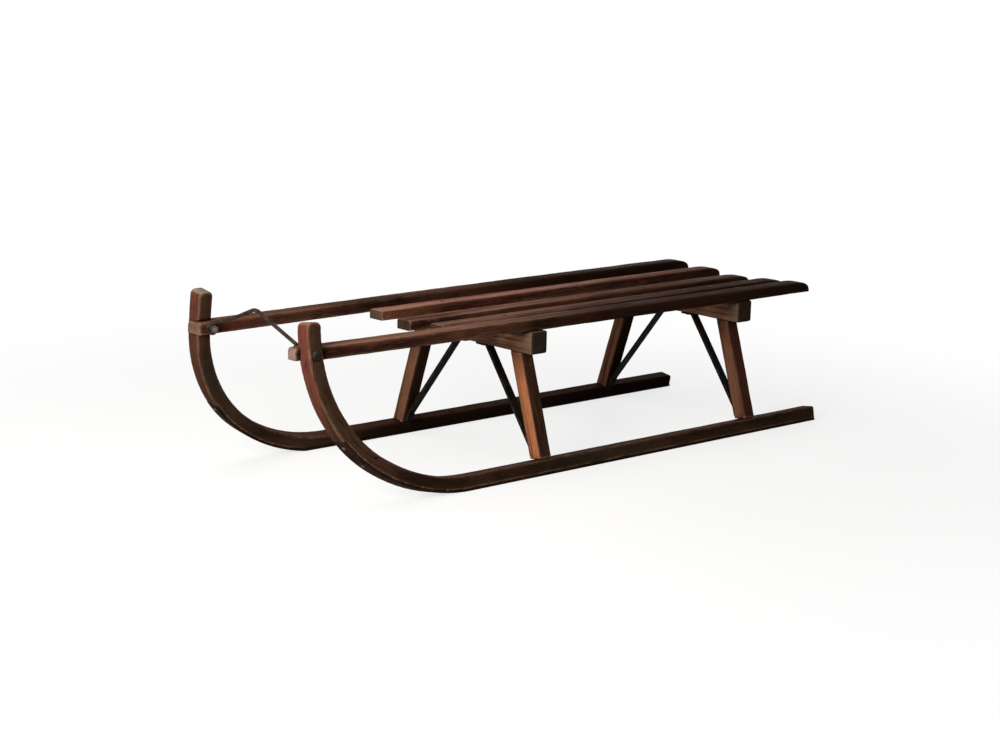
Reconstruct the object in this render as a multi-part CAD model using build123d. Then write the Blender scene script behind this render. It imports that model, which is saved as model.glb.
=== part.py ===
"""Wooden sled: bent runners, two braced trestles, a deck of five bars and an iron tow bow.

Millimetres. +X points forward to the horns, +Y to the sled's left, +Z up.
The origin is on the ground under the middle of the sled.
"""
import os
from math import acos, cos, degrees, radians, sin, sqrt, tan

from build123d import *

os.makedirs("parts", exist_ok=True)

# Overall
DECK_HALF = 527.0        # half the length, front of the rails to rear of the right slat
GROUND_Y = 178.0         # outer edge of a runner's sole, from the middle
FIT = 0.2                # play of a tenon in its mortise, each side
HOLE_FIT = 0.4           # play of a bolt in its hole, on the radius
EASE = 2.0               # worn arrises
REACH = 3 * DECK_HALF    # size of a cut that goes right through

# Runner with its upturned horn, bent in a plane that leans inward at the top
LEAN = 9.0               # degrees from upright
RUNNER_W = 25.0
RUNNER_H = 24.0          # with the shoe
HEEL_BACK = 12.5         # heel of the runner, ahead of the deck's rear end
HEEL_R = 2.5
BEND_R1 = 306.0          # ground curve, first part of the bend
BEND_A1 = 35.0
BEND_R2 = 221.0          # ground curve, second part of the bend
HORN_LEFT = 272.0        # up the leaning face to the tip
HORN_RIGHT = 280.0
TIP_R = 8.0
TIP_RUN = 12.0           # least straight length at the tip

# Iron shoe let in flush under the runner
SHOE_T = 3.0
SHOE_END = 52.0          # degrees up the bend where the shoe stops

# Trestles
REAR_OVERHANG = 169.0    # deck's rear end to the rear trestle
TRESTLE_GAP = 455.0
BEAM_W = 33.0
BEAM_H = 35.0
BEAM_HALF = 149.5
BEAM_Z0 = 177.0
LEG_A = 25.0             # fore and aft
LEG_B = 24.0             # across
LEG_SPLAY = 17.5
LEG_IN = 20.0            # leg axis at the runner's top, in from the sole's outer edge
TENON_A = 15.0
TENON_B = 10.0
TENON_FOOT = 12.0        # depth in the runner
TENON_HEAD = 23.0        # depth in the beam

# Flat iron stays from the beam to the feet of the legs
STAY_W = 13.0
STAY_T = 4.0
STAY_PAD = 22.0
STAY_IN_LEFT = 38.5      # top bend, from the middle of the beam
STAY_IN_RIGHT = 29.5
STAY_FOOT = 14.0
STAY_LOW = 4.0           # end of the foot, above the runner

# Deck
RAIL_W = 30.0
RAIL_T = 18.5
RAIL_PROUD = 7.0         # front end of a rail, ahead of the horn
RAIL_OVER = 0.5          # outer edge past the beam's end, at the rear of the deck
RAIL_UNDER = 5.0         # outer edge inside the beam's end, at the front trestle
RAIL_LAP = 15.0          # how far rail and horn share their width
RAIL_SHORT = 11.5        # rear end of a rail, ahead of the slats
HORN_NOTCH = 3.5         # the horn's part of the lap
SLAT_W = 30.0
SLAT_T = 16.0
SLAT_SINK = 3.0          # housed in the beams
SLAT_DEEP = 6.5          # the middle one is housed deeper
SLAT_PITCH = 72.0
SLAT_NOSE = 132.0        # ahead of the front trestle
BAR_EASE = 3.0
REAR_ROUND = 0.7         # rounding of a bar's rear end, as a share of its thickness
FRONT_ROUND = 0.2

# Bolt through horn and rail, and the tow bow on the bolts
LAP_FIT = 1.0
BOLT_R = 3.0
HEAD_R = 7.0
HEAD_T = 4.0
HEAD_SINK = 2.0
NUT_R = 6.0
NUT_T = 5.0
BOW_R = 2.75
BOW_RISE = 44.0
BOW_TOP_Y = 4.0          # the top is a little to the left
BOW_SAG = 3.0            # how far its right leg hangs below a straight line
BOW_BEND = 22.0

REAR_X = REAR_OVERHANG - DECK_HALF
FRONT_X = REAR_X + TRESTLE_GAP

SIDES = [
    {"side": "left", "right_hand": False, "horn_tip": HORN_LEFT, "horn_turn": 96.0,
     "lap_open": True, "stay_in": STAY_IN_LEFT},
    {"side": "right", "right_hand": True, "horn_tip": HORN_RIGHT, "horn_turn": 88.0,
     "lap_open": False, "stay_in": STAY_IN_RIGHT},
]
TRESTLES = [
    {"end": "front", "x": FRONT_X},
    {"end": "rear", "x": REAR_X},
]
SLATS = [
    {"place": "left", "y": SLAT_PITCH, "sink": SLAT_SINK, "ahead": 4.0},
    {"place": "centre", "y": 0.0, "sink": SLAT_DEEP, "ahead": 6.0},
    {"place": "right", "y": -SLAT_PITCH, "sink": SLAT_SINK, "ahead": 0.0},
]

# Places that follow from the sizes
lean = radians(LEAN)
splay = radians(LEG_SPLAY)
bend = radians(BEND_A1)
SIDE_PLANE = Plane(origin=(0, GROUND_Y, 0), x_dir=(1, 0, 0), z_dir=(0, -cos(lean), -sin(lean)))
BEND_X = DECK_HALF - RAIL_PROUD - (BEND_R1 - BEND_R2) * sin(bend) - BEND_R2
BEND_C1 = (BEND_X, BEND_R1)
BEND_C2 = (BEND_X + (BEND_R1 - BEND_R2) * sin(bend), BEND_R1 - (BEND_R1 - BEND_R2) * cos(bend))
HEEL_X = HEEL_BACK - DECK_HALF
RAIL_REAR = RAIL_SHORT - DECK_HALF
BEAM_Z1 = BEAM_Z0 + BEAM_H
LEG_FOOT_Y = GROUND_Y - LEG_IN
LEG_FOOT_Z = RUNNER_H
BOLT_Z = BEAM_Z1 + RAIL_T / 2
HORN_OUT_Y = GROUND_Y - BOLT_Z * tan(lean)
HORN_IN_Y = HORN_OUT_Y - RUNNER_W / cos(lean)
LAP_Y = HORN_IN_Y + HORN_NOTCH
HEAD_Y = HORN_OUT_Y - HEAD_SINK
EYE_T = 2 * BOW_R
EYE_R = BOLT_R + HOLE_FIT + EYE_T


def horn_x(depth, z):
    """Fore and aft place of the horn at a height, a given depth behind its front face."""
    rise = z / cos(lean) - BEND_C2[1]
    return BEND_C2[0] + sqrt(max((BEND_R2 - depth) ** 2 - rise**2, 0.0))


LAP_LEVELS = (BEAM_Z1, BEAM_Z1 + RAIL_T)
LAP_X0 = min(horn_x(RUNNER_H, z) for z in LAP_LEVELS) - LAP_FIT
LAP_X1 = max(horn_x(0, z) for z in LAP_LEVELS) + LAP_FIT
BOLT_X = (LAP_X0 + LAP_X1) / 2


def save(node, solid):
    solid.label = node
    export_step(solid, f"parts/{node}.step")


def handed(solid, right_hand):
    return mirror(solid, about=Plane.XZ) if right_hand else solid


def above(z):
    """Everything above a level."""
    return Pos(0, 0, z) * Box(REACH, REACH, REACH, align=(Align.CENTER, Align.CENTER, Align.MIN))


def below(z):
    return Pos(0, 0, z) * Box(REACH, REACH, REACH, align=(Align.CENTER, Align.CENTER, Align.MAX))


def on_bend(centre, radius, angle):
    a = radians(angle)
    return (centre[0] + radius * sin(a), centre[1] - radius * cos(a))


def bend_end(tip, turn):
    """Angle at which the bend gives way to the straight tip."""
    level = (BEND_C2[1] + TIP_RUN - tip) / BEND_R2
    return min(turn, degrees(acos(max(-1.0, min(1.0, level)))))


def bend_face(depth, end_angle, tip):
    """Side view of a strip bent to the ground curve, up to an angle and on to a tip."""
    turn = end_angle - BEND_A1
    start = BEND_A1 - 90
    out_end = on_bend(BEND_C2, BEND_R2, end_angle)
    in_end = on_bend(BEND_C2, BEND_R2 - depth, end_angle)
    a = radians(end_angle)
    run = max(0.0, (tip - out_end[1]) / sin(a)) if tip else 0.0
    out_tip = (out_end[0] + run * cos(a), out_end[1] + run * sin(a))
    in_tip = (in_end[0] + run * cos(a), in_end[1] + run * sin(a))
    edges = [
        Line((HEEL_X, 0), (BEND_X, 0)),
        CenterArc(BEND_C1, BEND_R1, -90, BEND_A1),
        CenterArc(BEND_C2, BEND_R2, start, turn),
        Line(out_tip, in_tip),
        CenterArc(BEND_C2, BEND_R2 - depth, start, turn),
        CenterArc(BEND_C1, BEND_R1 - depth, -90, BEND_A1),
        Line((BEND_X, depth), (HEEL_X, depth)),
        Line((HEEL_X, depth), (HEEL_X, 0)),
    ]
    if not run:
        return make_face(edges)
    face = make_face(edges + [Line(out_end, out_tip), Line(in_tip, in_end)])
    corners = [face.vertices().sort_by_distance(corner)[0] for corner in (out_tip, in_tip)]
    return fillet(corners, TIP_R)


def side_solid(face):
    return extrude(SIDE_PLANE * face, amount=RUNNER_W, dir=SIDE_PLANE.z_dir)


def runner_blank(horn_tip, horn_turn):
    """Runner and shoe in one, planed flat on the ground, arrises worn round."""
    face = bend_face(RUNNER_H, bend_end(horn_tip, horn_turn), horn_tip)
    heel = [v for v in face.vertices().group_by(Axis.X)[0] if v.Y > RUNNER_H / 2]
    blank = side_solid(fillet(heel, HEEL_R))
    sides = blank.faces().sort_by(SortBy.AREA)[-2:]
    arrises = [e for side in sides for e in side.edges() if e.length > TIP_R]
    upper = [e for e in arrises if e.center().X > HEEL_X + RUNNER_H and e.center().Z > SHOE_T + EASE]
    return fillet(upper, EASE) & above(0)


def shoe_room():
    """The band under the runner that the shoe fills."""
    return side_solid(bend_face(SHOE_T, SHOE_END, 0)) + below(SHOE_T)


def leg_axis_y(z):
    return LEG_FOOT_Y - (z - LEG_FOOT_Z) * tan(splay)


def runner_top_hit(half):
    """Where a line beside the leg axis meets the leaning top of the runner."""
    y_edge = GROUND_Y - RUNNER_H * sin(lean)
    z_edge = RUNNER_H * cos(lean)
    y_line = leg_axis_y(0) + half / cos(splay)
    z = (z_edge + (y_line - y_edge) * tan(lean)) / (1 + tan(splay) * tan(lean))
    return (y_line - z * tan(splay), z)


def leg_point(half, z):
    return (leg_axis_y(z) + half / cos(splay), z)


def across(points, width):
    """A piece drawn in the front view and given its width fore and aft."""
    return extrude(Plane.YZ * make_face(Polyline(*points, close=True)), amount=width / 2, both=True)


def tenons(grow):
    """Both tenons of a leg, in one bar along its axis."""
    b = TENON_B / 2 + grow
    low = runner_top_hit(0)[1] - TENON_FOOT - grow
    high = BEAM_Z0 + TENON_HEAD + grow
    points = [leg_point(b, low), leg_point(b, high), leg_point(-b, high), leg_point(-b, low)]
    return across(points, TENON_A + 2 * grow)


def leg():
    b = LEG_B / 2
    outline = [runner_top_hit(b), leg_point(b, BEAM_Z0), leg_point(-b, BEAM_Z0), runner_top_hit(-b)]
    body = across(outline, LEG_A)
    return chamfer(body.edges().sort_by(SortBy.LENGTH)[-4:], EASE) + tenons(0)


def beam():
    block = Box(BEAM_W, 2 * BEAM_HALF, BEAM_H, align=(Align.CENTER, Align.CENTER, Align.MIN))
    block = Pos(0, 0, BEAM_Z0) * chamfer(block.edges(), EASE)
    for row in SLATS:
        block -= Pos(0, row["y"], BEAM_Z1) * Box(REACH, SLAT_W + 2 * FIT, 2 * row["sink"])
    pair = tenons(FIT)
    return block - pair - mirror(pair, about=Plane.XZ)


def strap(points, thickness):
    """Outline of a bent strap from the points along its middle."""
    rows = []
    last = len(points) - 1
    for i, point in enumerate(points):
        here = Vector(*point)
        ahead = (Vector(*points[min(i, last - 1) + 1]) - Vector(*points[min(i, last - 1)])).normalized()
        behind = (here - Vector(*points[i - 1])).normalized() if i else ahead
        n0 = Vector(-behind.Y, behind.X)
        n1 = Vector(-ahead.Y, ahead.X)
        mid = (n0 + n1).normalized()
        rows.append((here, mid * (thickness / 2 / mid.dot(n0))))
    upper = [(p.X + n.X, p.Y + n.Y) for p, n in rows]
    lower = [(p.X - n.X, p.Y - n.Y) for p, n in reversed(rows)]
    return upper + lower


def stay(stay_in):
    half = -(LEG_B + STAY_T) / 2
    pad_z = BEAM_Z0 - STAY_T / 2
    end_z = runner_top_hit(half)[1] + STAY_LOW
    path = [
        (stay_in - STAY_PAD, pad_z),
        (stay_in, pad_z),
        leg_point(half, end_z + STAY_FOOT),
        leg_point(half, end_z),
    ]
    return across(strap(path, STAY_T), STAY_W)


def rounded_end(x, z, radius, facing):
    """What is worn off the upper corner of a bar's end."""
    corner = Box(radius, REACH, radius, align=(Align.MIN, Align.CENTER, Align.MAX))
    corner -= Pos(radius, 0, -radius) * Rot(X=90) * Cylinder(radius, REACH)
    return Pos(x, 0, z) * (mirror(corner, about=Plane.YZ) if facing > 0 else corner)


def bar(plan, z, thickness, rear, front):
    """A deck bar on the beams: rounded over at both ends, upper arrises worn round."""
    blank = extrude(Pos(0, 0, z) * plan, amount=thickness, dir=(0, 0, 1))
    long_top = blank.faces().sort_by(Axis.Z)[-1].edges().sort_by(SortBy.LENGTH)[-2:]
    blank = fillet(long_top, BAR_EASE)
    top = z + thickness
    blank -= rounded_end(rear, top, REAR_ROUND * thickness, -1)
    return blank - rounded_end(front, top, FRONT_ROUND * thickness, 1)


def rail_edge(offset):
    return ThreePointArc(
        (RAIL_REAR, BEAM_HALF + RAIL_OVER - offset),
        (FRONT_X, BEAM_HALF - RAIL_UNDER - offset),
        (DECK_HALF, HORN_IN_Y + RAIL_LAP - offset),
    )


def rail_inner_y(x):
    """Inner face of the rail at a place along it."""
    return (rail_edge(RAIL_W) @ ((x - RAIL_REAR) / (DECK_HALF - RAIL_REAR))).Y


def rail(lap_open):
    outer = rail_edge(0)
    inner = rail_edge(RAIL_W)
    plan = make_face([outer, inner, Line(outer @ 0, inner @ 0), Line(outer @ 1, inner @ 1)])
    lap_length = REACH if lap_open else LAP_X1 - LAP_X0
    lap = Box(lap_length, REACH, REACH, align=(Align.MIN, Align.MIN, Align.CENTER))
    blank = bar(plan, BEAM_Z1, RAIL_T, RAIL_REAR, DECK_HALF)
    return blank - Pos(LAP_X0, LAP_Y, BOLT_Z) * lap - bolt_hole()


def slat(y, sink, ahead):
    rear = ahead - DECK_HALF
    front = FRONT_X + SLAT_NOSE + ahead
    plan = Pos((front + rear) / 2, y) * Rectangle(front - rear, SLAT_W)
    return bar(plan, BEAM_Z1 - sink, SLAT_T, rear, front)


EYE_Y1 = rail_inner_y(BOLT_X + EYE_R) - FIT
EYE_Y0 = EYE_Y1 - EYE_T


def rod_y(radius, y0, y1):
    """A round rod along Y on the bolt's axis."""
    return Pos(BOLT_X, (y0 + y1) / 2, BOLT_Z) * Rot(X=90) * Cylinder(radius, y1 - y0)


def bolt_hole():
    return rod_y(BOLT_R + HOLE_FIT, 0, GROUND_Y)


def bolt():
    nut_y = EYE_Y0 - NUT_T
    shank = rod_y(BOLT_R, nut_y - BOLT_R, HEAD_Y)
    head = rod_y(HEAD_R, HEAD_Y, HEAD_Y + HEAD_T)
    rim = head.faces().sort_by(Axis.Y)[-1].edges()
    nut = extrude(RegularPolygon(NUT_R, 6, rotation=30), amount=NUT_T)
    return shank + fillet(rim, HEAD_T / 2) + Pos(BOLT_X, nut_y, BOLT_Z) * Rot(X=-90) * nut


def runner(horn_tip, horn_turn):
    wood = runner_blank(horn_tip, horn_turn) - shoe_room()
    for row in TRESTLES:
        wood -= Pos(row["x"], 0, 0) * tenons(FIT)
    notch = Box(REACH, REACH, RAIL_T + 2 * FIT, align=(Align.CENTER, Align.MAX, Align.CENTER))
    wood -= Pos(BOLT_X, LAP_Y, BOLT_Z) * notch
    return wood - bolt_hole() - rod_y(HEAD_R + HOLE_FIT, HEAD_Y, GROUND_Y)


def shoe(horn_tip, horn_turn):
    return runner_blank(horn_tip, horn_turn) & shoe_room()


def bow():
    y_end = (EYE_Y0 + EYE_Y1) / 2
    foot_z = BOLT_Z + EYE_R - BOW_R / 4
    top_z = BOLT_Z + BOW_RISE
    knee = ((BOW_TOP_Y - y_end) / 2, (foot_z + top_z) / 2 - BOW_SAG)
    points = [(y_end, foot_z), (BOW_TOP_Y, top_z), knee, (-y_end, foot_z)]
    path = Plane.YZ * FilletPolyline(*points, radius=BOW_BEND)
    rod = Pos(BOLT_X, 0, 0) * sweep(Plane(origin=path @ 0, z_dir=path % 0) * Circle(BOW_R), path=path)
    eye = rod_y(EYE_R, EYE_Y0, EYE_Y1)
    rod += eye + mirror(eye, about=Plane.XZ)
    return rod - rod_y(BOLT_R + HOLE_FIT, -GROUND_Y, GROUND_Y)


for row in SIDES:
    horn = (row["horn_tip"], row["horn_turn"])
    right = row["right_hand"]
    save(f"runner_{row['side']}", handed(runner(*horn), right))
    save(f"shoe_{row['side']}", handed(shoe(*horn), right))
    save(f"rail_{row['side']}", handed(rail(row["lap_open"]), right))
    save(f"bolt_{row['side']}", handed(bolt(), right))
    for place in TRESTLES:
        name = f"{place['end']}_{row['side']}"
        save(f"leg_{name}", Pos(place["x"], 0, 0) * handed(leg(), right))
        save(f"stay_{name}", Pos(place["x"], 0, 0) * handed(stay(row["stay_in"]), right))

for row in TRESTLES:
    save(f"beam_{row['end']}", Pos(row["x"], 0, 0) * beam())

for row in SLATS:
    save(f"slat_{row['place']}", slat(row["y"], row["sink"], row["ahead"]))

save("tow_bow", bow())
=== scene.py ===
"""Wooden sled: worn wood and iron, small fasteners, studio light and the photograph's camera."""

import math
from dataclasses import dataclass

import bmesh
import bpy
from mathutils import Matrix, Vector


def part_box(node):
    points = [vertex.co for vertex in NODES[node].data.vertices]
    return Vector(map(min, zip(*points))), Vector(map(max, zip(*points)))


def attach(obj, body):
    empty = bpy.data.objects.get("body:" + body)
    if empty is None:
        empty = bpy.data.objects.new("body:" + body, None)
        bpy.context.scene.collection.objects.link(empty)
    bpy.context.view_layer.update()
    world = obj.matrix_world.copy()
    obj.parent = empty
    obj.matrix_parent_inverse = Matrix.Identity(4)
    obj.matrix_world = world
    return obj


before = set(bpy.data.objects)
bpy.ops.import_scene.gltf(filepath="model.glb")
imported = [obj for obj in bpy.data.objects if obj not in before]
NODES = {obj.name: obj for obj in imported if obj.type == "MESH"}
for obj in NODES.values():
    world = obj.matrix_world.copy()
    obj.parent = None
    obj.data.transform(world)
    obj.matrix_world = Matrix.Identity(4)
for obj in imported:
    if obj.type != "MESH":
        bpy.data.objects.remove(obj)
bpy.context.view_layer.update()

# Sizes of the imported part, in metres and degrees
LEAN = 9.0
SPLAY = 17.5
BEND_R1 = 0.306
BEND_A1 = 35.0
BEND_R2 = 0.221
RUNNER_FRONT = 0.520
RUNNER_W = 0.025
SOLE_Y = 0.178
STAY_T = 0.004

# The runner's bend in its own plane: where it starts, and the centre of its second arc
BEND_TURN = math.radians(BEND_A1)
BEND_STEP = BEND_R1 - BEND_R2
BEND_X = RUNNER_FRONT - BEND_STEP * math.sin(BEND_TURN) - BEND_R2
SECOND_X = BEND_X + BEND_STEP * math.sin(BEND_TURN)
SECOND_Z = BEND_R1 - BEND_STEP * math.cos(BEND_TURN)

# Wear of the wooden shapes, in metres
GRID = 0.0017            # mesh width of a worn piece
BAR_SOFTNESS = 6         # rounds of smoothing on the deck bars
FRAME_SOFTNESS = 3       # rounds of smoothing on the other wood
SOFTENING = 0.5          # how far one round goes
HOLLOW_DEPTH = 0.0008
HOLLOW_WIDTH = 0.045
HOLLOW_DETAIL = 2        # rounds of ever finer hollows
HOLLOW_LEVEL = 0.9       # share of the depth that goes inwards
DROOP_REACH = 0.036      # further rounding at a deck bar's rear end
DROOP_SHARE = 0.28       # share of the height that is gone at the very end

# Cut ends, in metres back from the end: where grey wood and end grain begin and are full
SOAK_FROM = 0.030
SOAK_FULL = 0.016
GRAIN_FROM = 0.024
GRAIN_FULL = 0.014
HEART = (0.0, 0.021, -0.033)    # from the tree's heart to where the piece's coordinates start

# Fasteners, in metres, with turns in radians and the nails' places up the bend in degrees
SCREW_R = 0.0042
SCREW_H = 0.0011
SCREW_SUNK = 0.0004
SCREW_EDGE = 0.018       # a rail's screw, in from the end of the beam
SCREW_BAR_TURN = 0.6     # from one deck bar to the next
SCREW_BEAM_TURN = 1.1    # from the front beam to the rear one
STAY_BOLT_R = 0.005
PAD_BOLT_H = 0.0018
PAD_BOLT_IN = 0.010      # from the inner end of the stay's pad
PAD_BOLT_TURN = 0.4
FOOT_BOLT_H = 0.0028
FOOT_BOLT_IN = 0.0052    # from the outer end of the stay's foot
FOOT_BOLT_UP = 0.0085
FOOT_BOLT_TURN = 1.2
NAIL_R = 0.0032
NAIL_H = 0.0009
NAIL_ANGLES = (38.0, 49.0)
# a bolt's pale inner end is bare metal and also a painted glint
BOLT_BARE_AND_GLINT = (0.0935, 0.0915)    # from the sled's middle: where a bolt's inner end turns bare

# The photograph's camera
CAMERA_AT = (2.350227, 2.499282, 0.824842)
CAMERA_AZIMUTH = 137.213
CAMERA_ELEVATION = 11.801
CAMERA_ROLL = 1.489
FOCAL_PIXELS = 2250.6
IMAGE_WIDTH = 1000
SENSOR = 36.0

# The studio: levels from black to white, and sizes in metres
FILL_LEVEL = 0.13
FLOOR_LIT = 0.40         # the floor as it lights the sled
FLOOR_SEEN = 0.92        # the floor as it is seen
FLOOR_WHITE = 0.74       # share of plain white under the sled
FLOOR_FADE = (0.45, 1.3)
FLOOR_RADIUS = 14.0
FLOOR_SEGMENTS = 96
WHITE = (1.0, 1.0, 1.0)

# Noise patterns: waves a metre along the piece and across it, detail, roughness
PATTERNS = {
    "sway": (2.5, 16.0, 2.0, 0.55),
    "stain": (6.0, 22.0, 4.0, 0.60),
    "cast": (4.0, 11.0, 2.0, 0.55),
    "bands": (1.6, 64.0, 2.0, 0.55),
    "rings": (1.5, 150.0, 3.0, 0.60),
    "fibre": (12.0, 620.0, 3.0, 0.65),
    "pores": (40.0, 1500.0, 1.0, 0.55),
    "splits": (2.2, 55.0, 1.0, 0.55),
    "scuff": (24.0, 60.0, 6.0, 0.70),
    "scratch": (9.0, 900.0, 2.0, 0.55),
    "iron_scale": (90.0, 90.0, 5.0, 0.65),
    "iron_patch": (30.0, 30.0, 6.0, 0.70),
    "iron_pits": (700.0, 700.0, 2.0, 0.55),
    "shoe_scratch": (6.0, 500.0, 4.0, 0.60),
    "shoe_patch": (24.0, 24.0, 5.0, 0.65),
}
SEED_STEP = (1.7, 0.31, 0.53)    # moves each piece of wood to its own part of the patterns
SWAY_SIDE = 0.016        # how far the grain wanders across the piece each way, in metres
SWAY_DEPTH = 0.012


def tones(deep, plain, worn, cast):
    """Linear colours of a stained wood: thick stain, plain face, worn face, and a cast in patches."""
    return {"deep": deep, "plain": plain, "worn": worn, "cast": cast}


RED_CAST = (0.090, 0.018, 0.014)
OLIVE_CAST = (0.036, 0.030, 0.019)
WOODS = {
    "runner": tones((0.018, 0.010, 0.006), (0.056, 0.029, 0.017), (0.100, 0.030, 0.022), OLIVE_CAST),
    "rail": tones((0.014, 0.006, 0.004), (0.072, 0.029, 0.017), (0.140, 0.066, 0.046), RED_CAST),
    "pale_rail": tones((0.018, 0.008, 0.005), (0.110, 0.046, 0.026), (0.215, 0.106, 0.074), RED_CAST),
    "slat": tones((0.014, 0.005, 0.003), (0.074, 0.029, 0.014), (0.225, 0.106, 0.075), RED_CAST),
    "pale_slat": tones((0.018, 0.007, 0.004), (0.108, 0.041, 0.020), (0.380, 0.188, 0.140), RED_CAST),
    "beam": tones((0.018, 0.011, 0.007), (0.056, 0.029, 0.017), (0.230, 0.110, 0.066), RED_CAST),
    "leg": tones((0.020, 0.010, 0.006), (0.060, 0.027, 0.016), (0.145, 0.066, 0.037), RED_CAST),
    "bare_leg": tones((0.018, 0.009, 0.006), (0.044, 0.022, 0.014), (0.310, 0.114, 0.055), OLIVE_CAST),
}
CREAM_END = (0.240, 0.190, 0.140)
ORANGE_END = (0.250, 0.118, 0.078)
PINK_END = (0.230, 0.155, 0.128)
TAN_END = (0.170, 0.100, 0.066)
NOSE_END = (0.088, 0.060, 0.042)
DARK_NOSE = (0.046, 0.029, 0.017)
BEAM_END = (0.042, 0.029, 0.020)
BLACK_END = (0.010, 0.008, 0.007)
GREY_SOAK = (0.088, 0.067, 0.046)
# pale wood of worn arrises, which also paints an edge highlight on them
BARE_ARRIS_AND_HIGHLIGHT = (0.300, 0.175, 0.115)
# dark of the cracks, and of the painted shade towards the rear, on inner faces and in corners
GRIME_AND_SHADE = (0.011, 0.0056, 0.0040)
BLACK_IRON = (0.005, 0.0044, 0.0042)
BROWN_IRON = (0.027, 0.020, 0.016)
# pale worn iron of the nails, also painted as a glint on the bolts' inner ends
WORN_IRON_AND_GLINT = (0.120, 0.110, 0.100)
SCREW_STEEL = (0.046, 0.040, 0.036)
RUST = (0.050, 0.022, 0.012)
BARE_IRON = (0.340, 0.320, 0.300)

UP = (0.0, 0.0, 1.0)
AHEAD = (1.0, 0.0, 0.0)
ASTERN = (-1.0, 0.0, 0.0)
ACROSS = (0.0, 1.0, 0.0)
DOWN = (0.0, 0.0, -1.0)
ALL_HEIGHTS = (-1.0, -0.5)    # both under the ground, so that all of the piece lies above them


def middle(node):
    """The middle of a node's box."""
    low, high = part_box(node)
    return (low + high) / 2


def shade(color, share):
    """A darker or lighter tone of a colour."""
    return tuple(part * share for part in color)


class Nodes:
    """A node tree, built node by node."""

    def __init__(self, tree):
        self.tree = tree

    def plug(self, socket, value):
        if isinstance(value, bpy.types.NodeSocket):
            self.tree.links.new(value, socket)
        elif socket.type == "RGBA":
            socket.default_value = (*value, 1.0)
        else:
            socket.default_value = value

    def add(self, kind, inputs, output=0, **settings):
        node = self.tree.nodes.new(kind)
        for key, value in settings.items():
            setattr(node, key, value)
        for key, value in inputs.items():
            self.plug(node.inputs[key], value)
        return node.outputs[output]

    def math(self, operation, a, b=0.0, c=0.0):
        return self.add("ShaderNodeMath", {0: a, 1: b, 2: c}, operation=operation)

    def times(self, a, b):
        return self.math("MULTIPLY", a, b)

    def scaled(self, vector, scale):
        return self.add("ShaderNodeVectorMath", {0: vector, 1: scale}, operation="MULTIPLY")

    def moved(self, vector, step):
        return self.add("ShaderNodeVectorMath", {0: vector, 1: step}, operation="ADD")

    def dot(self, vector, axis):
        return self.add("ShaderNodeVectorMath", {0: vector, 1: axis}, "Value", operation="DOT_PRODUCT")

    def joined(self, x=0.0, y=0.0, z=0.0):
        return self.add("ShaderNodeCombineXYZ", {"X": x, "Y": y, "Z": z})

    def ramp(self, value, low, high, to_low=0.0, to_high=1.0):
        """A smooth step from to_low at low to to_high at high."""
        inputs = {"Value": value, "From Min": low, "From Max": high, "To Min": to_low, "To Max": to_high}
        return self.add("ShaderNodeMapRange", inputs, interpolation_type="SMOOTHSTEP")

    def seen(self):
        """High where the camera sees a thing itself, or in a mirror or through glass."""
        ray = self.tree.nodes.new("ShaderNodeLightPath").outputs
        mirrored = self.math("MAXIMUM", ray["Is Camera Ray"], ray["Is Glossy Ray"])
        return self.math("MAXIMUM", mirrored, ray["Is Transmission Ray"])


class Material(Nodes):
    """One material, built node by node."""

    def __init__(self, name):
        self.data = bpy.data.materials.new(name)
        self.data.use_nodes = True
        super().__init__(self.data.node_tree)
        self.shader = self.tree.nodes["Principled BSDF"]

    def set(self, **values):
        """Puts values on the shader's own sockets."""
        for key, value in values.items():
            self.plug(self.shader.inputs[key.replace("_", " ")], value)

    def pattern(self, name, vector):
        """A named noise, drawn out along the first axis where it has few waves there."""
        along, across, detail, rough = PATTERNS[name]
        stretched = self.scaled(vector, (along, across, across))
        inputs = {"Vector": stretched, "Scale": 1.0, "Detail": detail, "Roughness": rough}
        return self.add("ShaderNodeTexNoise", inputs, "Fac")

    def mix(self, factor, a, b):
        node = self.tree.nodes.new("ShaderNodeMix")
        node.data_type = "RGBA"
        sockets = {s.identifier: s for s in (*node.inputs, *node.outputs)}
        for key, value in (("Factor_Float", factor), ("A_Color", a), ("B_Color", b)):
            self.plug(sockets[key], value)
        return sockets["Result_Color"]

    def laid(self, color, tint, mask, share):
        """A colour with a tint laid over it, up to a share, where a mask is high."""
        return self.mix(self.times(mask, share), color, tint)

    def place(self):
        return self.add("ShaderNodeTexCoord", {}, "Object")

    def along(self, axis):
        return self.dot(self.place(), axis)

    def facing(self, axis, low, high):
        """High on faces turned to an axis."""
        return self.ramp(self.dot(self.add("ShaderNodeNewGeometry", {}, "Normal"), axis), low, high)

    def arrises(self, reach):
        """High along outer corners, low on flat faces."""
        inside = self.add("ShaderNodeAmbientOcclusion", {"Distance": reach}, "AO", samples=8, inside=True,
                          only_local=True)
        return self.ramp(inside, 0.92, 0.60)

    def crevice_shade(self, reach):
        """High in corners and joints, low on open faces; it sets where painted shade goes."""
        outside = self.add("ShaderNodeAmbientOcclusion", {"Distance": reach}, "AO", samples=8)
        return self.ramp(outside, 0.80, 0.35)

    def finish(self, color, roughness, relief, strength, depth):
        normal = self.add("ShaderNodeBump", {"Height": relief, "Strength": strength, "Distance": depth})
        self.set(Base_Color=color, Roughness=roughness, Normal=normal)
        return self.data


def straight_grain(m, node, axis):
    """Coordinates along a straight piece's grain and across it, from its middle."""
    ahead = Vector(axis).normalized()
    side = ahead.orthogonal().normalized()
    rows = [(v, v.dot(middle(node))) for v in (ahead, side, ahead.cross(side))]
    return m.joined(*(m.math("SUBTRACT", m.along(tuple(v)), start) for v, start in rows))


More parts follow.
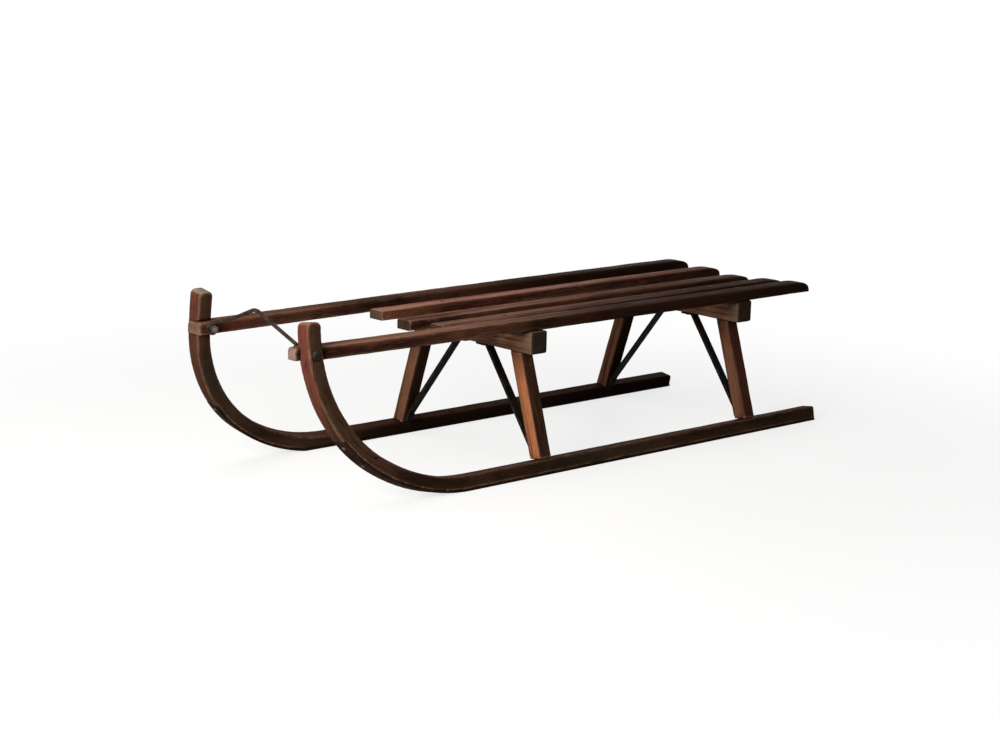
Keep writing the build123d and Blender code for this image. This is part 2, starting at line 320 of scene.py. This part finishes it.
def bent_grain(m):
    """Coordinates along the runner's bend and across it."""
    x = m.along(AHEAD)
    up = m.math("DIVIDE", m.along(UP), math.cos(math.radians(LEAN)))

    def arc(centre_x, centre_z, radius, run_before):
        u = m.math("SUBTRACT", x, centre_x)
        v = m.math("SUBTRACT", centre_z, up)
        reach = m.math("SQRT", m.math("ADD", m.times(u, u), m.times(v, v)))
        angle = m.math("ARCTAN2", u, v)
        return angle, m.math("MULTIPLY_ADD", angle, radius, run_before), m.math("SUBTRACT", radius, reach)

    angle, first_run, first_depth = arc(BEND_X, BEND_R1, BEND_R1, BEND_X)
    second_run, second_depth = arc(SECOND_X, SECOND_Z, BEND_R2, BEND_X + BEND_STEP * BEND_TURN)[1:]
    on_bend = m.math("GREATER_THAN", x, BEND_X)
    on_second = m.times(on_bend, m.math("GREATER_THAN", angle, BEND_TURN))

    def choose(straight, first, second):
        near = m.add("ShaderNodeMix", {"Factor": on_bend, "A": straight, "B": first})
        return m.add("ShaderNodeMix", {"Factor": on_second, "A": near, "B": second})

    return m.joined(choose(x, first_run, second_run), m.along(ACROSS), choose(up, first_depth, second_depth))


@dataclass
class Plank:
    """How one wooden node looks: its kind of wood, grain, cut ends and painted shade, and between which
    heights its wear grows to full, which on the legs paints the beam's shadow at their tops."""

    node: str
    kind: str
    axis: tuple
    ends: list
    painted_falloff: dict
    wear_and_shadow_between: tuple = ALL_HEIGHTS


def figure(m, run):
    """The marks in the wood: slow stain, growth rings, fibres, pores, drying cracks, scuffs and scratches."""
    sway = m.pattern("sway", run)
    wavy = m.moved(run, m.joined(0.0, m.times(sway, SWAY_SIDE), m.times(sway, SWAY_DEPTH)))
    stain = m.pattern("stain", run)
    from_split = m.math("ABSOLUTE", m.math("SUBTRACT", m.pattern("splits", wavy), 0.5))
    return {
        "stain": stain,
        "cast": m.pattern("cast", run),
        "bands": m.pattern("bands", wavy),
        "rings": m.pattern("rings", wavy),
        "fibre": m.pattern("fibre", wavy),
        "pores": m.ramp(m.pattern("pores", wavy), 0.59, 0.68),
        "cracks": m.times(m.ramp(from_split, 0.007, 0.002), m.ramp(stain, 0.50, 0.60)),
        "scuff": m.pattern("scuff", run),
        "scratch": m.ramp(m.pattern("scratch", run), 0.64, 0.74),
    }


def stained(m, tone, marks):
    """Uneven stain, darker in the rings and lighter on the fibres."""
    color = m.mix(m.ramp(marks["stain"], 0.34, 0.62), tone["deep"], tone["plain"])
    color = m.laid(color, tone["cast"], m.ramp(marks["cast"], 0.46, 0.64), share=0.45)
    color = m.laid(color, tone["deep"], m.ramp(marks["rings"], 0.46, 0.34), share=0.60)
    return m.laid(color, tone["worn"], m.ramp(marks["fibre"], 0.48, 0.72), share=0.22)


def rubbed(m, color, plank, tone, marks):
    """Wear on the faces that look up or ahead, which also paints the light from ahead and above on them,
    in scuffs and scratches, and along the arrises, where it is also a painted edge highlight.
    """
    # lighter on faces that look up or ahead: wear, and painted light from ahead and above
    lit_and_worn_face = m.math("MAXIMUM", m.facing(UP, 0.45, 0.90), m.facing(AHEAD, 0.45, 0.90))
    # wear by height; on the legs it fades at the top, a painted shadow under the beam
    wear_and_shadow_by_height = m.ramp(m.along(UP), *plank.wear_and_shadow_between, to_low=0.35)
    streaks = m.math("ADD", m.times(marks["rings"], 0.4), m.times(marks["bands"], 0.4))
    patches = m.math("MULTIPLY_ADD", marks["stain"], 0.2, streaks)
    worn = m.times(m.times(lit_and_worn_face, wear_and_shadow_by_height), m.ramp(patches, 0.42, 0.55, to_low=0.15))
    worn = m.math("MAXIMUM", worn, m.times(m.ramp(marks["scuff"], 0.58, 0.74), 0.35))
    worn = m.math("MAXIMUM", worn, m.times(marks["scratch"], 0.30))
    color = m.mix(worn, color, tone["worn"])
    # worn pale arrises, also a painted edge highlight
    worn_arris_and_highlight = m.times(m.arrises(reach=0.005), m.ramp(marks["scuff"], 0.36, 0.56, 0.10, 0.80))
    color = m.mix(worn_arris_and_highlight, color, BARE_ARRIS_AND_HIGHLIGHT)
    color = m.laid(color, tone["deep"], marks["pores"], share=0.55)
    return m.laid(color, GRIME_AND_SHADE, marks["cracks"], share=0.85)


def shaded_along(m, color, painted_falloff):
    """Painted shade that thickens along the sled, all round or only on the faces that look one way."""
    share = m.times(m.ramp(m.along(AHEAD), *painted_falloff["from_to"]), painted_falloff["share"])
    if painted_falloff["faces"]:
        share = m.times(share, m.facing(painted_falloff["faces"], 0.20, 0.60))
    return m.mix(share, color, GRIME_AND_SHADE)


def cut_ends(m, color, plank, marks, plain_run):
    """End grain with year rings, and the greyer wood beside it where damp soaks in."""
    rings = {"Vector": m.moved(plain_run, HEART), "Scale": 95.0, "Distortion": 3.0, "Detail": 2.0,
             "Detail Scale": 0.6}
    year = m.add("ShaderNodeTexWave", rings, "Fac", wave_type="RINGS", rings_direction="X")
    for end in plank.ends:
        place = m.along(end["axis"])
        soaked = m.ramp(place, end["last"] - SOAK_FROM, end["last"] - SOAK_FULL)
        color = m.laid(color, GREY_SOAK, soaked, end["soak"])
        at_end = m.ramp(place, end["last"] - GRAIN_FROM, end["last"] - GRAIN_FULL)
        bare = m.times(m.facing(end["axis"], 0.45, 0.80), at_end)
        spotted = m.ramp(m.math("ADD", m.times(year, 0.25), marks["scuff"]), 0.45, 0.85)
        color = m.mix(bare, color, m.mix(spotted, shade(end["color"], 0.55), end["color"]))
    return color


def wood(plank, seed):
    """Old stained wood: grain, wear with painted light and highlights in it, painted shade and cut ends over
    one kind's colours.
    """
    m = Material(f"{plank.node}_wood")
    tone = WOODS[plank.kind]
    plain_run = straight_grain(m, plank.node, plank.axis) if plank.axis else bent_grain(m)
    marks = figure(m, m.moved(plain_run, tuple(seed * step for step in SEED_STEP)))
    color = rubbed(m, stained(m, tone, marks), plank, tone, marks)
    # painted shade: darker towards the rear and on faces that look one way
    color = shaded_along(m, color, plank.painted_falloff)
    color = cut_ends(m, color, plank, marks, plain_run)
    # painted shade in corners and joints, from ambient occlusion
    color = m.laid(color, GRIME_AND_SHADE, m.crevice_shade(reach=0.022), share=0.75)
    dull = m.math("ADD", marks["stain"], m.times(marks["scuff"], 0.6))
    grain = m.math("ADD", m.times(marks["fibre"], 0.5), m.times(marks["rings"], 0.5))
    hollows = m.math("ADD", m.times(marks["pores"], 0.4), marks["cracks"])
    relief = m.math("SUBTRACT", m.math("MULTIPLY_ADD", marks["scuff"], 0.4, grain), hollows)
    m.set(Specular_IOR_Level=0.002)
    return m.finish(color, m.ramp(dull, 0.55, 1.05, 0.60, 0.90), relief, strength=0.55, depth=0.0010)


def iron(name, base, rust_share, bare_and_glint_between=None):
    """Forged iron: dull scale, patches of rust, rubbed arrises that are also a painted edge highlight, and
    metal worn bare and pale, also a painted glint, on the side of the second of two distances from the sled's
    middle."""
    m = Material(name)
    place = m.place()
    scale = m.pattern("iron_scale", place)
    patch = m.pattern("iron_patch", place)
    pits = m.pattern("iron_pits", place)
    color = m.mix(m.ramp(scale, 0.36, 0.66), shade(base, 0.5), shade(base, 1.5))
    color = m.laid(color, RUST, m.ramp(patch, 0.48, 0.66), rust_share)
    # rubbed pale arrises, also a painted edge highlight
    rubbed_arris_and_highlight = m.times(m.arrises(reach=0.0014), m.ramp(scale, 0.42, 0.60, 0.05, 0.35))
    color = m.mix(rubbed_arris_and_highlight, color, shade(BARE_IRON, 0.35))
    # pale bare metal at a bolt's inner end, also a painted glint
    if bare_and_glint_between:
        bare = m.ramp(m.math("ABSOLUTE", m.along(ACROSS)), *bare_and_glint_between)
        color = m.mix(m.times(bare, m.ramp(scale, 0.30, 0.50, to_low=0.5)), color, WORN_IRON_AND_GLINT)
    dull = m.math("ADD", patch, m.times(scale, 0.4))
    relief = m.math("ADD", scale, m.times(pits, 0.4))
    m.set(Specular_IOR_Level=0.02)
    return m.finish(color, m.ramp(dull, 0.45, 0.90, 0.42, 0.75), relief, strength=0.4, depth=0.0006)


def shoe_iron(name):
    """Runner shoe: brown and dull on its edges and bend, rubbed bright on the flat of the sole."""
    m = Material(name)
    place = m.place()
    scratch = m.pattern("shoe_scratch", place)
    patch = m.pattern("shoe_patch", place)
    sole = m.facing(DOWN, 0.985, 0.998)
    bright = m.times(sole, m.ramp(scratch, 0.36, 0.60, 0.25, 0.9))
    color = m.mix(m.ramp(patch, 0.34, 0.56), BLACK_IRON, shade(RUST, 0.45))
    color = m.mix(bright, color, BARE_IRON)
    m.set(Metallic=m.times(bright, 0.9), Specular_IOR_Level=0.01)
    return m.finish(color, m.ramp(scratch, 0.30, 0.70, 0.55, 0.85), scratch, strength=0.3, depth=0.0005)


def dress(node, material):
    """Puts one material on a node."""
    node.data.materials.clear()
    node.data.materials.append(material)


def weathered(node, soft):
    """Gives a wooden node the soft arrises and uneven faces of old hand-planed wood."""
    grid = node.modifiers.new("grid", "REMESH")
    grid.mode = "VOXEL"
    grid.voxel_size = GRID
    grid.use_smooth_shade = True
    soften = node.modifiers.new("soften", "SMOOTH")
    soften.factor = SOFTENING
    soften.iterations = soft
    hollows = bpy.data.textures.new(node.name + "_hollows", "CLOUDS")
    hollows.noise_scale = HOLLOW_WIDTH
    hollows.noise_depth = HOLLOW_DETAIL
    uneven = node.modifiers.new("uneven", "DISPLACE")
    uneven.texture = hollows
    uneven.texture_coords = "LOCAL"
    uneven.strength = HOLLOW_DEPTH
    uneven.mid_level = HOLLOW_LEVEL


def drooped(node):
    """Lowers the top of a deck bar towards its rear end, so that the end is rounded over further."""
    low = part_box(node.name)[0]
    tree = bpy.data.node_groups.new(node.name + "_droop", "GeometryNodeTree")
    for way in ("INPUT", "OUTPUT"):
        tree.interface.new_socket("Geometry", in_out=way, socket_type="NodeSocketGeometry")
    n = Nodes(tree)
    place = n.add("GeometryNodeInputPosition", {})
    x, y, z = (n.dot(place, axis) for axis in (AHEAD, ACROSS, UP))
    into_end = n.math("SUBTRACT", low.x + DROOP_REACH, x)
    near_end = n.math("MAXIMUM", n.math("DIVIDE", into_end, DROOP_REACH), 0.0)
    height_kept = n.math("MULTIPLY_ADD", n.times(near_end, near_end), -DROOP_SHARE, 1.0)
    lowered = n.math("MULTIPLY_ADD", n.math("SUBTRACT", z, low.z), height_kept, low.z)
    start = n.add("NodeGroupInput", {})
    shaped = n.add("GeometryNodeSetPosition", {"Geometry": start, "Position": n.joined(x, y, lowered)})
    n.plug(tree.nodes.new("NodeGroupOutput").inputs[0], shaped)
    node.modifiers.new("droop", "NODES").node_group = tree


def cut(node, axis, color, soak=0.0):
    """An end where the grain is cut across, and how grey the wood is beside it."""
    last = max(Vector(axis).dot(corner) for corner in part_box(node))
    return {"axis": axis, "color": color, "last": last, "soak": soak}


def painted_falloff(share, from_to, faces=None):
    """Painted shade that thickens between two places along the sled, all round or on the faces that look one
    way.
    """
    return {"share": share, "from_to": from_to, "faces": faces}


def runners():
    """Runners that are rubbed towards the horns and have painted shade on their inner faces behind the bend.
    """
    sides = (("left", (0.0, -1.0, 0.0), ORANGE_END), ("right", (0.0, 0.97, 0.24), CREAM_END))
    for side, inner, horn_end in sides:
        node = f"runner_{side}"
        ends = [cut(node, UP, horn_end), cut(node, ASTERN, BLACK_END)]
        falloff_shade = painted_falloff(0.92, from_to=(0.34, 0.12), faces=inner)
        yield Plank(node, "runner", None, ends, falloff_shade, wear_and_shadow_between=(0.07, 0.25))


def deck_bars():
    """Rails and slats, each with its own front end and painted shade that darkens it towards the rear."""
    bars = (
        ("rail_left", "pale_rail", PINK_END, painted_falloff(0.82, from_to=(0.30, -0.10))),
        ("rail_right", "rail", TAN_END, painted_falloff(0.82, from_to=(0.16, -0.16))),
        ("slat_left", "slat", DARK_NOSE, painted_falloff(0.84, from_to=(0.25, -0.40))),
        ("slat_centre", "slat", DARK_NOSE, painted_falloff(0.60, from_to=(0.15, -0.45))),
        ("slat_right", "pale_slat", NOSE_END, painted_falloff(0.65, from_to=(-0.05, -0.45), faces=ACROSS)),
    )
    for node, kind, front, falloff_shade in bars:
        yield Plank(node, kind, AHEAD, [cut(node, AHEAD, front), cut(node, ASTERN, BLACK_END)], falloff_shade)


def trestles():
    """Beams with grey ends and painted shade towards the rear, and legs with painted shade on their inner
    faces that are rubbed towards the foot, with the beam's shadow painted at their tops.
    """
    slope = math.radians(SPLAY)
    for place in ("front", "rear"):
        beam = f"beam_{place}"
        ends = [cut(beam, (0.0, away, 0.0), BEAM_END, soak=0.55) for away in (1.0, -1.0)]
        yield Plank(beam, "beam", ACROSS, ends, painted_falloff(0.3, from_to=(0.30, -0.40)))
        for side, away in (("left", 1), ("right", -1)):
            leg = f"leg_{place}_{side}"
            kind = "bare_leg" if leg == "leg_front_left" else "leg"
            leg_axis = (0.0, -away * math.sin(slope), math.cos(slope))
            falloff_shade = painted_falloff(0.80, from_to=(0.30, -0.05), faces=(0.0, -away, 0.0))
            # the wear fades towards the top of the leg: a painted shadow under the beam
            yield Plank(leg, kind, leg_axis, [], falloff_shade, wear_and_shadow_between=(0.180, 0.120))


def dress_wood():
    """Gives every wooden node its own material and its worn shape."""
    planks = [*runners(), *deck_bars(), *trestles()]
    for seed, plank in enumerate(planks, start=1):
        node = NODES[plank.node]
        is_bar = plank.axis == AHEAD
        dress(node, wood(plank, seed))
        weathered(node, BAR_SOFTNESS if is_bar else FRAME_SOFTNESS)
        if is_bar:
            drooped(node)


def dress_iron(irons):
    """Gives each iron node the material that its first word names."""
    for name, node in NODES.items():
        kind = name.split("_")[0]
        if kind in irons:
            dress(node, irons[kind])


def head(bm, at, axis, radius, height, turn=0.0, slotted=False):
    """A domed screw, bolt or nail head that stands on a face."""
    rings = 6
    segments = 24
    slot_half = 0.16
    upright = Vector(UP).rotation_difference(Vector(axis)).to_matrix().to_4x4()
    matrix = Matrix.Translation(at) @ upright @ Matrix.Rotation(turn, 4, "Z")
    rows = []
    for i in range(rings):
        share = 1 - i / rings
        rise = height * math.sqrt(1 - share**2)
        row = []
        for k in range(segments):
            a = math.tau * k / segments
            v = Vector((radius * share * math.cos(a), radius * share * math.sin(a), rise))
            if slotted and i and abs(v.y) < slot_half * radius:
                v.z -= height / 2
            row.append(bm.verts.new(matrix @ v))
        rows.append(row)
    for low, high in zip(rows, rows[1:]):
        for k in range(segments):
            j = (k + 1) % segments
            bm.faces.new((low[k], low[j], high[j], high[k]))
    bm.faces.new(rows[-1])


def piece(name, build, material):
    """Makes one joined mesh on the sled's body."""
    bm = bmesh.new()
    build(bm)
    bmesh.ops.recalc_face_normals(bm, faces=bm.faces)
    for face in bm.faces:
        face.smooth = True
    mesh = bpy.data.meshes.new(name)
    bm.to_mesh(mesh)
    bm.free()
    obj = bpy.data.objects.new(name, mesh)
    bpy.context.scene.collection.objects.link(obj)
    mesh.materials.append(material)
    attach(obj, "root")


def deck_screws(bm):
    """One slotted screw where each deck bar crosses a beam, each turned its own way."""
    for k, bar in enumerate(("rail_left", "slat_left", "slat_centre", "slat_right", "rail_right")):
        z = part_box(bar)[1].z - SCREW_SUNK
        for j, beam in enumerate(("beam_front", "beam_rear")):
            y = middle(bar).y
            if bar.startswith("rail"):
                y = math.copysign(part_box(beam)[1].y - SCREW_EDGE, y)
            turn = SCREW_BAR_TURN * k + SCREW_BEAM_TURN * j
            head(bm, (middle(beam).x, y, z), UP, SCREW_R, SCREW_H, turn, slotted=True)


def stay_bolts(bm):
    """A bolt head in each end of each stay."""
    slope = math.radians(SPLAY)
    for end in ("front", "rear"):
        for side, away in (("left", 1), ("right", -1)):
            low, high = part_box(f"stay_{end}_{side}")
            x = (low.x + high.x) / 2
            inner, outer = (low.y, high.y) if away > 0 else (high.y, low.y)
            pad = (x, inner + away * PAD_BOLT_IN, high.z - STAY_T)
            head(bm, pad, DOWN, STAY_BOLT_R, PAD_BOLT_H, PAD_BOLT_TURN)
            axis = Vector((0, -away * math.cos(slope), -math.sin(slope)))
            foot = Vector((x, outer - away * FOOT_BOLT_IN, low.z + FOOT_BOLT_UP)) + axis * STAY_T / 2
            head(bm, foot, axis, STAY_BOLT_R, FOOT_BOLT_H, FOOT_BOLT_TURN)


def shoe_nails(bm):
    """Nails up the bend of each shoe, the last one near the shoe's end."""
    lean = math.radians(LEAN)
    for away in (1, -1):
        inward = Vector((0, -away * math.cos(lean), -math.sin(lean)))
        up_side = Vector((0, -away * math.sin(lean), math.cos(lean)))
        centre = Vector((SECOND_X, away * SOLE_Y, 0)) + up_side * SECOND_Z + inward * RUNNER_W / 2
        for angle in NAIL_ANGLES:
            a = math.radians(angle)
            out = Vector(AHEAD) * math.sin(a) - up_side * math.cos(a)
            head(bm, centre + out * BEND_R2, out, NAIL_R, NAIL_H)


def panel(name, at, aim, size, power, tint):
    """A round soft lamp."""
    data = bpy.data.lights.new(name, "AREA")
    data.shape = "DISK"
    data.size = size
    data.energy = power
    data.color = tint
    lamp = bpy.data.objects.new(name, data)
    bpy.context.scene.collection.objects.link(lamp)
    lamp.location = at
    lamp.rotation_euler = (Vector(aim) - Vector(at)).to_track_quat("-Z", "Y").to_euler()


def lights():
    """A warm key from ahead, a soft top light, and a lamp for the rear and the far side."""
    panel("key", at=(1.75, 0.60, 0.80), aim=(0.15, 0.0, 0.15), size=0.8, power=42.0, tint=(1.0, 0.95, 0.87))
    panel("top", at=(0.80, -0.30, 1.80), aim=(0.1, 0.0, 0.1), size=1.4, power=14.0, tint=(1.0, 0.98, 0.96))
    panel("back", at=(-2.40, -1.80, 0.60), aim=(0.0, 0.0, 0.1), size=1.6, power=42.0, tint=(0.98, 0.99, 1.0))


def studio():
    """White where it is seen, a soft grey fill where it lights the sled."""
    world = bpy.data.worlds.new("studio")
    bpy.context.scene.world = world
    world.use_nodes = True
    n = Nodes(world.node_tree)
    background = n.tree.nodes["Background"].inputs
    n.plug(background["Color"], WHITE)
    n.plug(background["Strength"], n.add("ShaderNodeMapRange", {"Value": n.seen(), "To Min": FILL_LEVEL}))


def floor():
    """Pale floor that keeps the sled's shadow and fades to plain white away from it."""
    bm = bmesh.new()
    bmesh.ops.create_circle(bm, cap_ends=True, segments=FLOOR_SEGMENTS, radius=FLOOR_RADIUS)
    mesh = bpy.data.meshes.new("floor")
    bm.to_mesh(mesh)
    bm.free()
    obj = bpy.data.objects.new("floor", mesh)
    bpy.context.scene.collection.objects.link(obj)
    m = Material("floor")
    shown = m.seen()
    tone = m.ramp(shown, 0.0, 1.0, FLOOR_LIT, FLOOR_SEEN)
    m.set(Base_Color=m.joined(tone, tone, tone), Roughness=0.9)
    away = m.add("ShaderNodeVectorMath", {0: m.place()}, "Value", operation="LENGTH")
    white = m.times(shown, m.ramp(away, *FLOOR_FADE, to_low=FLOOR_WHITE))
    glow = m.add("ShaderNodeEmission", {"Color": WHITE, "Strength": 1.0})
    both = m.add("ShaderNodeMixShader", {0: white, 1: m.shader.outputs[0], 2: glow})
    m.plug(m.tree.nodes["Material Output"].inputs["Surface"], both)
    mesh.materials.append(m.data)


def camera():
    """The photograph's camera, from its place, direction, roll and focal length."""
    azimuth = math.radians(CAMERA_AZIMUTH)
    rise = math.radians(CAMERA_ELEVATION)
    roll = math.radians(CAMERA_ROLL)
    back = Vector((math.sin(azimuth) * math.cos(rise), -math.cos(azimuth) * math.cos(rise), math.sin(rise)))
    level = Vector(UP).cross(back).normalized()
    steep = back.cross(level)
    right = level * math.cos(roll) + steep * math.sin(roll)
    data = bpy.data.cameras.new("camera")
    data.sensor_width = SENSOR
    data.sensor_fit = "HORIZONTAL"
    data.lens = FOCAL_PIXELS / IMAGE_WIDTH * SENSOR
    obj = bpy.data.objects.new("camera", data)
    bpy.context.scene.collection.objects.link(obj)
    turned = Matrix((right, back.cross(right), back)).transposed()
    obj.matrix_world = Matrix.Translation(CAMERA_AT) @ turned.to_4x4()
    bpy.context.scene.camera = obj


black_iron = iron("black_iron", BLACK_IRON, rust_share=0.25)
bolt_iron = iron("bolt_iron", BROWN_IRON, rust_share=0.30, bare_and_glint_between=BOLT_BARE_AND_GLINT)
bow_iron = iron("bow_iron", BROWN_IRON, rust_share=0.45)
screw_steel = iron("screw_steel", SCREW_STEEL, rust_share=0.2)
nail_iron = iron("nail_iron", WORN_IRON_AND_GLINT, rust_share=0.3)
dress_wood()
dress_iron({"stay": black_iron, "bolt": bolt_iron, "tow": bow_iron, "shoe": shoe_iron("shoe_iron")})
piece("deck_screws", deck_screws, screw_steel)
piece("stay_bolts", stay_bolts, black_iron)
piece("shoe_nails", shoe_nails, nail_iron)
floor()
lights()
studio()
camera()
bpy.context.scene.view_settings.view_transform = "Standard"
